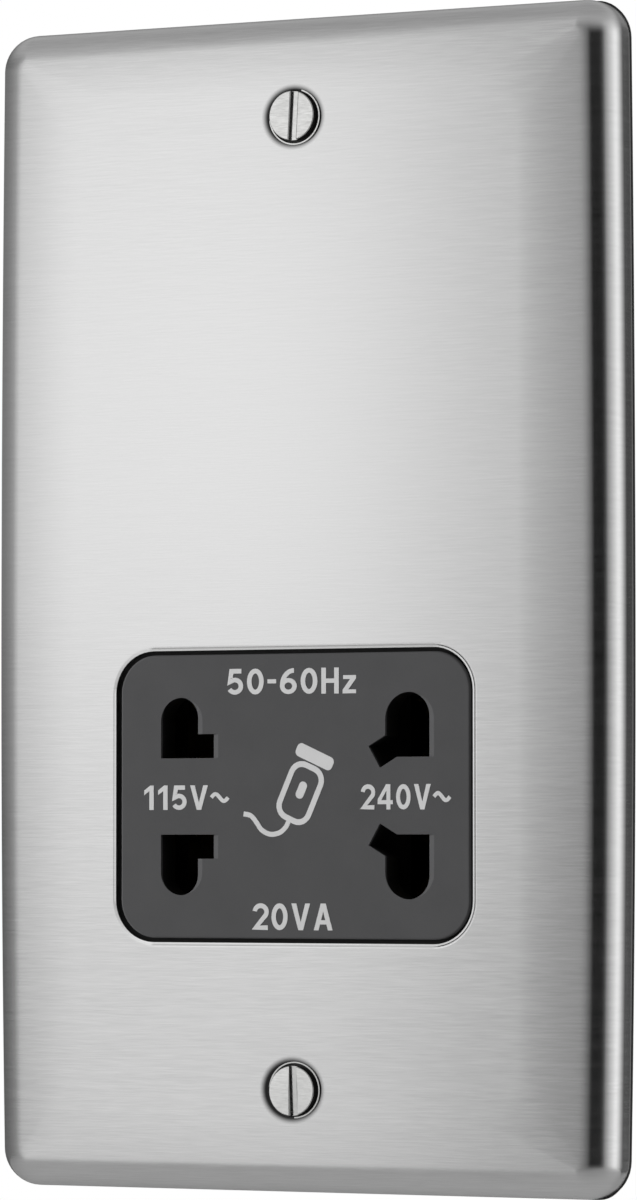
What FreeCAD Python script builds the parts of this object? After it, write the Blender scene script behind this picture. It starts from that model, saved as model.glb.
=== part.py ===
import FreeCAD, Part
import math
import os

# Dual-voltage shaver socket for a two-gang wall box, in millimetres.
# X to the right, Y into the wall, Z up. The origin is the plate's centre on the wall plane, so the
# front faces -Y and the housing reaches into the wall box along +Y.

V = FreeCAD.Vector
ALONG_X = V(1, 0, 0)
ALONG_Y = V(0, 1, 0)
ALONG_Z = V(0, 0, 1)

# Face plate
plate_w = 86.2
plate_h = 146.2
plate_depth = 6.5
sheet = 0.8
roll_r = 4.0
corner_land = 0.5
flare_w = 0.2
flare_h = 0.5
lip_t = 0.4

# Fixing screws
fixing_pitch = 120.6
thread_r = 1.75
neck_r = 1.5
head_r = 3.05
head_h = 1.1
collar_r = 3.5
collar_h = 0.3
screw_hole_r = 2.2
driver_slot_w = 1.1
driver_slot_d = 0.8
screw_reach = 22.0
sleeve_room = 1.6
boss_wall = 1.4

# Socket insert
insert_z = -24.0
opening_w = 49.1
opening_h = 36.3
opening_r = 5.3
opening_bevel_w = 0.55
opening_bevel_d = 0.15
insert_gap = 0.52
insert_proud = 0.1
insert_round = 0.3
flange_over = 2.0
flange_t = 1.5
block_step = 0.6

# Pin slots, about the insert's centre
slot_flat_z = 4.75
slot_lead = 0.8
slot_lead_depth = 0.4
low_volt_x = -15.5
low_volt_w = 5.8
low_volt_top = 12.3
low_volt_blade_x = 5.1
low_volt_blade_h = 3.0
high_volt_x = 15.85
high_volt_w = 6.6
high_volt_top = 12.7
high_volt_blade_x = 4.8
high_volt_blade_w = 3.1
high_volt_blade_angle = 30.0

# Mounting frame
frame_clear = 0.3
frame_front_t = 3.0
frame_wall = 2.0
frame_rib_t = 1.6
frame_rib_h = 2.0

# Plug interlock
slider_clear = 0.3
slider_t = 4.0
slider_travel = 3.0
slider_wall = 2.0
slider_rim = 1.2
guide_z = 9.0
guide_r = 2.5
finger_w = 3.0
finger_t = 2.0
finger_h = 6.0
spring_room = 5.0
spring_t = 0.3
spring_w = 3.0
spring_span = 12.0
spring_seat_clear = 0.1

# Contact carrier and contacts
carrier_wall = 2.0
carrier_depth = 12.0
carrier_floor = 2.0
pocket_clear = 0.5
contact_t = 0.5
contact_w = 5.5
contact_grip = 4.2
contact_mouth = 8.2
contact_bow = 3.5
tail_w = 2.5
tail_reach = 1.6
tail_clear = 0.15

# Leaf switch
leaf_t = 0.3
leaf_w = 2.4
leaf_clear = 0.3
leaf_free = 5.0
leaf_root = 4.0
leaf_tail = 3.0
switch_block_w = 16.0
switch_block_t = 5.2
peg_r = 1.0
fit_clear = 0.05

# Transformer
core_limb = 8.0
core_stack = 20.0
core_hole_r = 1.8
coil_build = 5.6
bobbin_wall = 1.0
bobbin_flange = 1.2
bobbin_clear = 0.2
coil_corner_r = 3.0
cutout_w = 15.0
cutout_h = 7.0
cutout_t = 3.8
cutout_air = 0.9
post_seat = 5.0
post_lip = 4.0
post_wall = 2.2

# Rear housing
housing_wall = 2.0
housing_air = 0.8
housing_round = 2.0
housing_taper = 8.0
taper_start = 2.5
step_air = 2.2
vent_w = 2.0
vent_l = 22.0
vent_pitch = 5.0
vent_count = 6
lug_r = 3.4
lug_t = 3.0
lug_x = 26.0

# Small screws of carrier and housing
small_screw_r = 1.25
small_head_r = 2.4
small_head_h = 1.6
small_slot_w = 0.7
small_slot_d = 0.8
small_bite = 2.6

# Supply terminals and earth strap
way_pitch = 11.0
way_count = 3
clamp_size = 7.0
clamp_depth = 8.5
clamp_clear = 0.3
clamp_bore_r = 2.0
clamp_bore_y = 3.2
block_wall = 3.0
block_floor = 1.0
block_cover = 3.5
terminal_screw_r = 1.45
terminal_head_r = 2.5
terminal_head_h = 2.0
strap_t = 0.6
strap_w = 5.0
strap_end_clear = 1.0

# Levels along Y
plate_y = -plate_depth
inner_y = plate_y + sheet
rim_y = -lip_t
frame_back = inner_y + frame_front_t
face_y = plate_y - insert_proud
flange_back = inner_y + flange_t
slider_front = frame_back + slider_clear
slider_back = slider_front + slider_t
carrier_front = slider_back + slider_clear
carrier_back = carrier_front + carrier_depth
pocket_floor = carrier_back - carrier_floor
lower_back = carrier_back + step_air + housing_wall

# Transformer levels
core_w = 6 * core_limb
core_h = 5 * core_limb
window_h = 3 * core_limb
coil_x = core_limb + bobbin_clear + bobbin_wall + coil_build
coil_y = core_stack / 2 + bobbin_clear + bobbin_wall + coil_build
coil_front = frame_back + cutout_air + cutout_t
coil_centre = coil_front + coil_y
core_front = coil_centre - core_stack / 2
core_back = coil_centre + core_stack / 2
upper_back = coil_centre + coil_y + housing_air + housing_wall

# Chamber of the interlock
low_volt_inner = low_volt_x + low_volt_blade_x
low_volt_pin = low_volt_x - slot_lead / 2
high_volt_pin = high_volt_x - slot_lead / 2
low_volt_outer = low_volt_x - low_volt_w / 2
high_volt_inner = high_volt_x - high_volt_blade_x - high_volt_blade_w / 2
high_volt_outer = high_volt_x + high_volt_w / 2
slot_reach = max(-low_volt_outer, high_volt_outer)
slot_top = max(low_volt_top, high_volt_top)
slider_half = slot_reach + slider_travel + slider_wall
slider_top = slot_top + slider_rim
chamber_half = slider_half + spring_room
chamber_top = slider_top + slider_clear
carrier_half = chamber_half + carrier_wall
carrier_top = chamber_top + carrier_wall

# Leaf switch heights, about the insert's centre
finger_top = slider_top + finger_h
leaf_tip = carrier_top + leaf_clear
switch_low = leaf_tip + leaf_free
switch_high = switch_low + leaf_root
leaf_x = finger_w / 2 + leaf_clear + leaf_t / 2
fixed_x = finger_w / 2 + slider_travel + 1.5 * leaf_t + fit_clear

# Housing outline
housing_half = carrier_half + slider_clear + housing_wall
housing_low = insert_z - carrier_top - housing_air - housing_wall
step_z = insert_z + switch_high + housing_air - housing_wall
core_low = step_z + housing_wall + housing_air
core_z = core_low + core_h / 2
housing_high = core_low + core_h + frame_clear + post_wall + housing_air + housing_wall

# Plate and frame outlines
skirt_w = plate_w - 2 * flare_w
skirt_h = plate_h - 2 * flare_w
skirt_r = roll_r + corner_land
rim_r = skirt_r + flare_w
frame_inset = sheet + frame_clear
boss_r = thread_r + sleeve_room + boss_wall
insert_w = opening_w - 2 * insert_gap
insert_h = opening_h - 2 * insert_gap
insert_r = opening_r - insert_gap
block_w = insert_w - 2 * block_step
block_h = insert_h - 2 * block_step
block_r = insert_r - block_step
flange_w = opening_w + 2 * flange_over
flange_h = opening_h + 2 * flange_over
flange_r = opening_r + flange_over


def box(x0, x1, y0, y1, z0, z1):
    """A block between two corners."""
    return Part.makeBox(x1 - x0, y1 - y0, z1 - z0, V(x0, y0, z0))


def cylinder_y(x, z, y0, y1, r):
    """A round bar along Y."""
    return Part.makeCylinder(r, y1 - y0, V(x, y0, z), ALONG_Y)


def rounded_wire(w, h, r, y, z=0.0):
    """A rounded rectangle facing -Y, centred on X = 0."""
    a = w / 2
    b = h / 2
    k = r * (1 - math.sqrt(0.5))
    edges = []
    for sx, sz in ((1, 1), (-1, 1), (-1, -1), (1, -1)):
        on_side = V(sx * a, y, z + sz * (b - r))
        middle = V(sx * (a - k), y, z + sz * (b - k))
        on_end = V(sx * (a - r), y, z + sz * b)
        corner = [on_side, middle, on_end] if sx * sz > 0 else [on_end, middle, on_side]
        edges.append(corner)
    outline = []
    for i, corner in enumerate(edges):
        outline.append(Part.Arc(*corner).toShape())
        outline.append(Part.LineSegment(corner[2], edges[(i + 1) % 4][0]).toShape())
    return Part.Wire(outline)


def rounded_block(w, h, r, y0, y1, z=0.0):
    """A rounded rectangle drawn out along Y."""
    return Part.Face(rounded_wire(w, h, r, y0, z)).extrude(V(0, y1 - y0, 0))


def round_front(solid, y, r):
    """Rounds every edge that lies in the plane at y."""
    edges = [e for e in solid.Edges if all(abs(v.Y - y) < 1e-6 for v in e.Vertexes)]
    return solid.makeFillet(r, edges)


def folded_strip(points, t, place, along, width):
    """A strip of thickness t folded along a line of points, drawn out by width along one axis."""
    left = []
    right = []
    for i, (u, w) in enumerate(points):
        legs = []
        if i > 0:
            legs.append((u - points[i - 1][0], w - points[i - 1][1]))
        if i < len(points) - 1:
            legs.append((points[i + 1][0] - u, points[i + 1][1] - w))
        units = [(du / math.hypot(du, dw), dw / math.hypot(du, dw)) for du, dw in legs]
        nu = -sum(unit[1] for unit in units) / len(units)
        nw = sum(unit[0] for unit in units) / len(units)
        scale = t / 2 / (nu * nu + nw * nw)
        left.append(place(u + nu * scale, w + nw * scale))
        right.append(place(u - nu * scale, w - nw * scale))
    outline = left + right[::-1]
    return Part.Face(Part.makePolygon(outline + outline[:1])).extrude(along * width)


def slotted_screw(x, z, seat, toward, head_radius, head_height, slot_w, slot_d, shanks):
    """A screw along Y: its head stands on the plane at seat and its shanks run the other way.

    shanks lists the radius and the end of each stretch, counted from the seat.
    """
    axis = ALONG_Y * toward
    top = V(x, seat, z)
    head = Part.makeCylinder(head_radius, head_height, top, axis)
    slot_y = seat + toward * (head_height - slot_d)
    y0, y1 = sorted((slot_y, slot_y + toward * 2 * slot_d))
    screw = head.cut(box(x - slot_w / 2, x + slot_w / 2, y0, y1, z - 2 * head_radius, z + 2 * head_radius))
    start = 0.0
    for radius, end in shanks:
        shank = Part.makeCylinder(radius, end - start, top - axis * start, axis * -1)
        screw = screw.fuse(shank)
        start = end
    return screw.removeSplitter()


def mirrored(shape):
    """The same shape on the other side of the insert's centre line."""
    return shape.mirror(V(0, 0, insert_z), ALONG_Z)


def arch_wire(left, w, top, y):
    """Outline of a slot with a flat end towards the insert's centre and a round end away from it."""
    r = w / 2
    low = insert_z + slot_flat_z
    high = insert_z + top - r
    a = V(left, y, low)
    b = V(left + w, y, low)
    c = V(left + w, y, high)
    d = V(left + r, y, high + r)
    e = V(left, y, high)
    sides = [Part.LineSegment(p, q).toShape() for p, q in ((a, b), (b, c), (e, a))]
    return Part.Wire([sides[0], sides[1], Part.Arc(c, d, e).toShape(), sides[2]])


def level_wire(x0, x1, h, y):
    """Outline of a level slot for a flat blade, standing on the line of the flat ends."""
    low = insert_z + slot_flat_z
    corners = [V(x0, y, low), V(x1, y, low), V(x1, y, low + h), V(x0, y, low + h)]
    return Part.makePolygon(corners + corners[:1])


def slanted_wire(x, z, length, width, angle, y):
    """Outline of a slanted slot for a flat blade, from its end at (x, z)."""
    c = math.cos(math.radians(angle))
    s = math.sin(math.radians(angle))
    corners = []
    for u, v in ((0, -width / 2), (length, -width / 2), (length, width / 2), (0, width / 2)):
        corners.append(V(x + u * c - v * s, y, z + u * s + v * c))
    return Part.makePolygon(corners + corners[:1])


def lead_cut(outline):
    """An opening through the insert with a sloped lead-in down its right-hand side.

    outline draws the opening at some level with its right-hand side moved in by some amount.
    """
    wide = outline(0.0, face_y)
    narrow = outline(slot_lead, face_y + slot_lead_depth)
    slope = Part.makeLoft([wide, narrow], True, True)
    straight = Part.Face(narrow).extrude(V(0, frame_back - face_y, 0))
    return [slope, straight]


def low_volt_slot():
    """Upper 115 V slot: an arch for round pins with a level slot for a flat blade."""
    tools = lead_cut(lambda lead, y: arch_wire(low_volt_outer, low_volt_w - lead, low_volt_top, y))
    tools += lead_cut(lambda lead, y: level_wire(low_volt_outer, low_volt_inner - lead, low_volt_blade_h, y))
    return tools


def high_volt_slot():
    """Upper 240 V slot: an arch for round pins with a slanted slot for a flat blade."""
    left = high_volt_x - high_volt_w / 2
    end = high_volt_x - high_volt_blade_x
    tools = lead_cut(lambda lead, y: arch_wire(left, high_volt_w - lead, high_volt_top, y))
    blade = slanted_wire(
        end, insert_z + slot_flat_z, high_volt_blade_x, high_volt_blade_w, high_volt_blade_angle, face_y
    )
    tools.append(Part.Face(blade).extrude(V(0, frame_back - face_y, 0)))
    return tools


def front_plate():
    """Pressed steel plate: flat face, rolled edge, straight skirt and a small flare where it was trimmed."""
    outer = round_front(rounded_block(skirt_w, skirt_h, skirt_r, plate_y, rim_y), plate_y, roll_r)
    flare = Part.makeLoft(
        [
            rounded_wire(skirt_w, skirt_h, skirt_r, rim_y - flare_h),
            rounded_wire(plate_w, plate_h, rim_r, rim_y),
        ],
        True,
        True,
    )
    hollow = rounded_block(skirt_w - 2 * sheet, skirt_h - 2 * sheet, skirt_r - sheet, inner_y, 0.0)
    plate = outer.fuse(flare).cut(round_front(hollow, inner_y, roll_r - sheet))
    opening = rounded_block(opening_w, opening_h, opening_r, plate_y - sheet, inner_y + sheet, insert_z)
    bevel = Part.makeLoft(
        [
            rounded_wire(
                opening_w + 2 * opening_bevel_w,
                opening_h + 2 * opening_bevel_w,
                opening_r + opening_bevel_w,
                plate_y,
                insert_z,
            ),
            rounded_wire(opening_w, opening_h, opening_r, plate_y + opening_bevel_d, insert_z),
        ],
        True,
        True,
    )
    plate = plate.cut(opening).cut(bevel)
    for side in (-1, 1):
        plate = plate.cut(cylinder_y(0, side * fixing_pitch / 2, plate_y - sheet, inner_y + sheet, screw_hole_r))
    return plate.removeSplitter()


def mounting_frame():
    """Moulded tray inside the plate: front wall, side walls, a thin lip behind the sheet's edge,
    screw bosses with ribs, corner posts for the transformer and the insert's seat."""
    w = skirt_w - 2 * frame_inset
    h = skirt_h - 2 * frame_inset
    r = skirt_r - frame_inset
    tray = round_front(rounded_block(w, h, r, inner_y, 0.0), inner_y, roll_r - sheet)
    tray = tray.fuse(rounded_block(plate_w, plate_h, rim_r, rim_y, 0.0))
    inner_w = w - 2 * frame_wall
    inner_h = h - 2 * frame_wall
    tray = tray.cut(rounded_block(inner_w, inner_h, r - frame_wall, frame_back, plate_depth))
    rib_x = lug_x - 2 * lug_r
    rib_y = frame_back + frame_rib_h
    for side in (-1, 1):
        z = side * fixing_pitch / 2
        tray = tray.fuse(cylinder_y(0, z, frame_back, 0.0, boss_r))
        tray = tray.fuse(box(-rib_x, rib_x, frame_back, rib_y, z - frame_rib_t / 2, z + frame_rib_t / 2))
        z0, z1 = sorted((z, side * inner_h / 2))
        tray = tray.fuse(box(-frame_rib_t / 2, frame_rib_t / 2, frame_back, rib_y, z0, z1))
    for side in (-1, 1):
        z = side * fixing_pitch / 2
        tray = tray.cut(cylinder_y(0, z, inner_y, plate_depth, screw_hole_r))
        tray = tray.cut(cylinder_y(0, z, frame_back, plate_depth, thread_r + sleeve_room))
    for side_x in (-1, 1):
        for side_z in (-1, 1):
            tray = tray.fuse(core_post(side_x, side_z))
    pocket = rounded_block(
        flange_w + 2 * frame_clear, flange_h + 2 * frame_clear, flange_r + frame_clear, inner_y, flange_back, insert_z
    )
    window = rounded_block(
        block_w + 2 * frame_clear, block_h + 2 * frame_clear, block_r + frame_clear, inner_y, frame_back, insert_z
    )
    tray = tray.cut(pocket).cut(window)
    for x, z in housing_screw_places():
        tray = tray.cut(cylinder_y(x, z, frame_back - small_bite - frame_clear, frame_back, small_screw_r + fit_clear))
    for x, z in switch_peg_places():
        tray = tray.fuse(cylinder_y(x, z, frame_back, frame_back + switch_block_t, peg_r))
    strap_x, strap_end, strap_z = strap_place()
    hole_x = strap_x - strap_t - frame_clear
    hole_end = strap_end + frame_clear
    half = strap_w / 2 + frame_clear
    tray = tray.cut(box(hole_x, hole_end, inner_y, frame_back, strap_z - half, strap_z + half))
    return tray.removeSplitter()


def core_post(side_x, side_z):
    """Corner post of the frame: a seat under the laminations and a lip round their corner."""
    far_x = side_x * (core_w / 2 + frame_clear + post_wall)
    near_x = side_x * (core_w / 2 - post_seat)
    far_z = core_z + side_z * (core_h / 2 + frame_clear + post_wall)
    near_z = core_z + side_z * (core_h / 2 - post_seat)
    x0, x1 = sorted((near_x, far_x))
    z0, z1 = sorted((near_z, far_z))
    post = box(x0, x1, frame_back, core_front + post_lip, z0, z1)
    a = core_w / 2 + frame_clear
    b = core_h / 2 + frame_clear
    return post.cut(box(-a, a, core_front, core_back, core_z - b, core_z + b))


def socket_insert():
    """Moulded face that stands through the plate, a flange that the frame traps behind the plate, and
    two screw bosses that also guide the slider."""
    body = round_front(rounded_block(insert_w, insert_h, insert_r, face_y, inner_y, insert_z), face_y, insert_round)
    body = body.fuse(rounded_block(flange_w, flange_h, flange_r, inner_y, flange_back, insert_z))
    body = body.fuse(rounded_block(block_w, block_h, block_r, flange_back, frame_back, insert_z))
    for side in (-1, 1):
        z = insert_z + side * guide_z
        body = body.fuse(cylinder_y(0, z, frame_back, carrier_front, guide_r))
        pilot = small_screw_r + fit_clear
        body = body.cut(cylinder_y(0, z, carrier_front - small_bite - 2 * frame_clear, carrier_front, pilot))
    for tool in low_volt_slot() + high_volt_slot():
        body = body.cut(tool).cut(mirrored(tool))
    return body.removeSplitter()


def slider_window(inner, outer, side):
    """Upper window of the slider: its far edge lies one travel beyond the slot and its near wall is a ramp."""
    low = insert_z + slot_flat_z - high_volt_blade_w / 2 - slider_clear
    high = insert_z + slot_top + slider_clear
    near = inner - side * slider_clear
    far = outer + side * (slider_clear + slider_travel)
    profile = [
        V(near, slider_front, low),
        V(far, slider_front, low),
        V(far, slider_back, low),
        V(near + side * slider_travel, slider_back, low),
    ]
    return Part.Face(Part.makePolygon(profile + profile[:1])).extrude(V(0, 0, high - low))


def interlock_slider():
    """Ramped shutter: a pin that goes in on one side drives it across and shuts the other side."""
    half_z = slider_top
    body = box(-slider_half, slider_half, slider_front, slider_back, insert_z - half_z, insert_z + half_z)
    for tool in (
        slider_window(low_volt_inner, low_volt_outer, -1),
        slider_window(high_volt_inner, high_volt_outer, 1),
    ):
        body = body.cut(tool).cut(mirrored(tool))
    slot_r = guide_r + slider_clear
    for side in (-1, 1):
        z = insert_z + side * guide_z
        body = body.cut(box(-slider_travel, slider_travel, slider_front, slider_back, z - slot_r, z + slot_r))
        for end in (-1, 1):
            body = body.cut(cylinder_y(end * slider_travel, z, slider_front, slider_back, slot_r))
    middle = (slider_front + slider_back) / 2
    finger = box(
        -finger_w / 2,
        finger_w / 2,
        middle - finger_t / 2,
        middle + finger_t / 2,
        insert_z + half_z,
        insert_z + finger_top,
    )
    return body.fuse(finger).removeSplitter()


def slider_spring(side):
    """Leaf spring bent to a shallow V between the slider's end and the chamber's end wall."""
    seat = chamber_half - spring_seat_clear - spring_t
    nose = slider_half + spring_seat_clear + spring_t
    points = [(seat, -spring_span / 2), (nose, 0.0), (seat, spring_span / 2)]
    middle = (slider_front + slider_back) / 2

    def place(u, w):
        return V(side * u, middle - spring_w / 2, insert_z + w)

    return folded_strip(points, spring_t, place, ALONG_Y, spring_w)


def pocket_span(inner, outer):
    """Left and right wall of a contact's pocket."""
    low, high = sorted((inner, outer))
    return low - pocket_clear, high + pocket_clear


def pocket_heights():
    """Near and far wall of a contact's pocket, about the insert's centre."""
    return slot_flat_z - pocket_clear - high_volt_blade_w / 2, slot_top + pocket_clear


def contact_carrier():
    """Moulded block that shuts the slider's chamber and holds a contact behind each slot."""
    low, high = pocket_heights()
    top = carrier_top
    body = box(-carrier_half, carrier_half, frame_back, carrier_front + carrier_wall, insert_z - top, insert_z + top)
    body = body.cut(
        box(-chamber_half, chamber_half, frame_back, carrier_front, insert_z - chamber_top, insert_z + chamber_top)
    )
    block_half = slot_reach + pocket_clear + carrier_wall
    body = body.fuse(box(-block_half, block_half, carrier_front, carrier_back, insert_z - top, insert_z + top))
    for inner, outer, x in contact_columns():
        x0, x1 = pocket_span(inner, outer)
        pocket = box(x0, x1, carrier_front, pocket_floor, insert_z + low, insert_z + high)
        tail_z = insert_z + (low + high) / 2
        half = contact_t / 2 + tail_clear
        tail = box(
            x - tail_w / 2 - tail_clear, x + tail_w / 2 + tail_clear, pocket_floor, carrier_back, tail_z - half, tail_z + half
        )
        for tool in (pocket, tail):
            body = body.cut(tool).cut(mirrored(tool))
    notch = finger_w / 2 + slider_travel + 2 * slider_clear
    middle = (slider_front + slider_back) / 2
    notch_back = middle + finger_t / 2 + slider_clear
    body = body.cut(box(-notch, notch, frame_back, notch_back, insert_z + chamber_top, insert_z + top))
    for side in (-1, 1):
        z = insert_z + side * guide_z
        body = body.cut(cylinder_y(0, z, carrier_front, carrier_back, small_screw_r + frame_clear))
        body = body.cut(cylinder_y(0, z, carrier_front + carrier_wall, carrier_back, small_head_r + frame_clear))
    return body.removeSplitter()


def contact_columns():
    """Inner and outer edge of each pair of slots, and the X of its round pins."""
    return (
        (low_volt_inner, low_volt_outer, low_volt_pin),
        (high_volt_inner, high_volt_outer, high_volt_pin),
    )


def contact_clip(x):
    """Upper spring clip: two bowed leaves with a flared mouth on a flat back, and a tail for its lead."""
    low, high = pocket_heights()
    middle = (low + high) / 2
    back = pocket_floor - contact_t / 2
    mouth = carrier_front + slider_clear
    grip = mouth + contact_bow
    half_back = (high - low) / 2 - pocket_clear - contact_t / 2
    points = [
        (mouth, middle - contact_mouth / 2),
        (grip, middle - contact_grip / 2),
        (back, middle - half_back),
        (back, middle + half_back),
        (grip, middle + contact_grip / 2),
        (mouth, middle + contact_mouth / 2),
    ]

    def place(u, w):
        return V(x - contact_w / 2, u, insert_z + w)

    clip = folded_strip(points, contact_t, place, ALONG_X, contact_w)
    z = insert_z + middle
    tail = box(
        x - tail_w / 2, x + tail_w / 2, back, carrier_back + tail_reach, z - contact_t / 2, z + contact_t / 2
    )
    return clip.fuse(tail).removeSplitter()


def carrier_screws():
    """Two screws from the carrier's back into the insert's bosses."""
    seat = carrier_front + carrier_wall
    shank = [(small_screw_r, carrier_wall + small_bite)]
    return [
        slotted_screw(
            0, insert_z + side * guide_z, seat, 1, small_head_r, small_head_h, small_slot_w, small_slot_d, shank
        )
        for side in (-1, 1)
    ]


def switch_leaf(x):
    """One upright strip of the leaf switch, from its free tip to its solder tail."""
    middle = (slider_front + slider_back) / 2
    return box(
        x - leaf_t / 2,
        x + leaf_t / 2,
        middle - leaf_w / 2,
        middle + leaf_w / 2,
        insert_z + leaf_tip,
        insert_z + switch_high + leaf_tail,
    )


def switch_peg_places():
    """Pegs of the frame that the switch block is staked on."""
    x = (fixed_x + leaf_t + switch_block_w / 2) / 2
    z = insert_z + (switch_low + switch_high) / 2
    return [(-x, z), (x, z)]


def switch_block():
    """Moulded base of the leaf switch, with a slit for each strip."""
    half = switch_block_w / 2
    back = frame_back + switch_block_t
    body = box(-half, half, frame_back, back, insert_z + switch_low, insert_z + switch_high)
    middle = (slider_front + slider_back) / 2
    for x in (-fixed_x, -leaf_x, leaf_x, fixed_x):
        a = leaf_t / 2 + fit_clear
        b = leaf_w / 2 + fit_clear
        body = body.cut(
            box(x - a, x + a, middle - b, middle + b, insert_z + switch_low, insert_z + switch_high)
        )
    for x, z in switch_peg_places():
        body = body.cut(cylinder_y(x, z, frame_back, back, peg_r + fit_clear))
    return body


def core_e_stack():
    """E-shaped laminations: a spine and three limbs, with the corner holes of the spine."""
    half = core_w / 2
    top = core_low + core_limb + window_h
    body = box(-half, half, core_front, core_back, core_low, top)
    for side in (-1, 1):
        x0, x1 = sorted((side * core_limb, side * 2 * core_limb))
        body = body.cut(box(x0, x1, core_front, core_back, core_low + core_limb, top))
        x = side * (half - core_limb / 2)
        body = body.cut(cylinder_y(x, core_low + core_limb / 2, core_front, core_back, core_hole_r))
    return body


def core_i_stack():
    """Straight laminations that close the limbs."""
    half = core_w / 2
    low = core_low + core_limb + window_h
    body = box(-half, half, core_front, core_back, low, low + core_limb)
    for side in (-1, 1):
        x = side * (half - core_limb / 2)
        body = body.cut(cylinder_y(x, low + core_limb / 2, core_front, core_back, core_hole_r))
    return body


def coil_ring(half_x, half_y, r, hole_x, hole_y, hole_r, z0, z1):
    """A rounded rectangular ring round the middle limb."""

    def slab(a, b, radius):
        block = box(-a, a, coil_centre - b, coil_centre + b, z0, z1)
        upright = [e for e in block.Edges if abs(e.Vertexes[0].Z - e.Vertexes[1].Z) > 1e-6]
        return block.makeFillet(radius, upright)

    return slab(half_x, half_y, r).cut(slab(hole_x, hole_y, hole_r))


def coil_levels():
    """Heights of the bobbin's ends and of its middle flange."""
    low = core_low + core_limb + bobbin_clear
    high = core_low + core_limb + window_h - bobbin_clear
    middle = (low + high) / 2
    return low, middle, high


def bobbin():
    """Moulded former: a tube round the middle limb and three flanges."""
    low, middle, high = coil_levels()
    hole_x = core_limb + bobbin_clear
    hole_y = core_stack / 2 + bobbin_clear
    tube_r = bobbin_wall
    body = coil_ring(hole_x + bobbin_wall, hole_y + bobbin_wall, tube_r, hole_x, hole_y, tube_r / 2, low, high)
    half = bobbin_flange / 2
    for z0, z1 in ((low, low + bobbin_flange), (middle - half, middle + half), (high - bobbin_flange, high)):
        body = body.fuse(coil_ring(coil_x, coil_y, tube_r, hole_x, hole_y, tube_r / 2, z0, z1))
    return body.removeSplitter()


def winding(z0, z1):
    """One closed winding in its chamber of the bobbin."""
    tube_x = core_limb + bobbin_clear + bobbin_wall
    tube_y = core_stack / 2 + bobbin_clear + bobbin_wall
    return coil_ring(coil_x, coil_y, coil_corner_r, tube_x, tube_y, bobbin_wall, z0, z1)


def primary_winding():
    """Mains winding, in the lower chamber."""
    low, middle, high = coil_levels()
    return winding(low + bobbin_flange, middle - bobbin_flange / 2)


def secondary_winding():
    """Tapped 115 V and 240 V winding, in the upper chamber."""
    low, middle, high = coil_levels()
    return winding(middle + bobbin_flange / 2, high - bobbin_flange)


def thermal_cutout():
    """Flat thermal cut-out laid on the front of the primary winding."""
    low, middle, high = coil_levels()
    z = (low + bobbin_flange + middle - bobbin_flange / 2) / 2
    body = box(-cutout_w / 2, cutout_w / 2, coil_front - cutout_t, coil_front, z - cutout_h / 2, z + cutout_h / 2)
    ends = [e for e in body.Edges if abs(e.Vertexes[0].Y - e.Vertexes[1].Y) > 1e-6]
    return body.makeFillet(cutout_h / 3, ends)


def housing_taper_cut(wall, side):
    """What the sloped side of the deep part leaves off, for an outline inset by wall."""
    rise = upper_back - lower_back - taper_start
    length = math.hypot(housing_taper, rise)
    along = V(-side * housing_taper / length, rise / length, 0)
    out = V(side * rise / length, housing_taper / length, 0)
    start = V(side * housing_half, lower_back + taper_start, housing_low) - out * wall
    corners = [start - along * length, start + along * 2 * length]
    corners += [p + out * length for p in reversed(corners)]
    return Part.Face(Part.makePolygon(corners + corners[:1])).extrude(V(0, 0, housing_high - housing_low))


def housing_profile(wall):
    """Body of the housing, inset by wall: deep with sloped sides at the transformer, shallow at the contacts."""
    outline = [
        (frame_back, housing_low + wall),
        (lower_back - wall, housing_low + wall),
        (lower_back - wall, step_z + wall),
        (upper_back - wall, step_z + wall),
        (upper_back - wall, housing_high - wall),
        (frame_back, housing_high - wall),
    ]
    half = housing_half - wall
    points = [V(-half, y, z) for y, z in outline]
    body = Part.Face(Part.makePolygon(points + points[:1])).extrude(V(2 * half, 0, 0))
    return body.cut(housing_taper_cut(wall, -1)).cut(housing_taper_cut(wall, 1))


def housing_screw_places():
    """Screw lugs beyond the two ends of the housing."""
    return [
        (side * lug_x, z) for side in (-1, 1) for z in (housing_low - lug_r, housing_high + lug_r)
    ]


def rear_housing():
    """Moulded cover with rounded outer edges, pads that hold the laminations down, vents and screw lugs."""
    outer = housing_profile(0.0)
    rounded = []
    for e in outer.Edges:
        middle = e.CenterOfMass
        at_front = abs(middle.y - frame_back) < 1e-6
        in_step = abs(middle.y - lower_back) < 1e-6 and abs(middle.z - step_z) < 1e-6
        if not at_front and not in_step:
            rounded.append(e)
    shell = outer.makeFillet(housing_round, rounded)
    for x, z in housing_screw_places():
        end = housing_high if z > core_z else housing_low
        z0, z1 = sorted((z, end + (housing_wall if z < core_z else -housing_wall)))
        tab = box(x - lug_r, x + lug_r, frame_back, frame_back + lug_t, z0, z1)
        shell = shell.fuse(tab).fuse(cylinder_y(x, z, frame_back, frame_back + lug_t, lug_r))
    shell = shell.cut(housing_profile(housing_wall))
    for x, z in housing_screw_places():
        shell = shell.cut(cylinder_y(x, z, frame_back, frame_back + lug_t, small_screw_r + frame_clear))
    for side_x in (-1, 1):
        for side_z in (-1, 1):
            x0, x1 = sorted((side_x * core_w / 2, side_x * (core_w / 2 - post_seat)))
            edge = core_z + side_z * core_h / 2
            z0, z1 = sorted((edge, edge - side_z * post_seat))
            shell = shell.fuse(box(x0, x1, core_back, upper_back - housing_wall, z0, z1))
    for i in range(vent_count):
        x = (i - (vent_count - 1) / 2) * vent_pitch
        vent = box(
            x - vent_w / 2,
            x + vent_w / 2,
            upper_back - housing_wall,
            upper_back,
            core_z - vent_l / 2,
            core_z + vent_l / 2,
        )
        shell = shell.cut(vent)
    return shell.removeSplitter()


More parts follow.
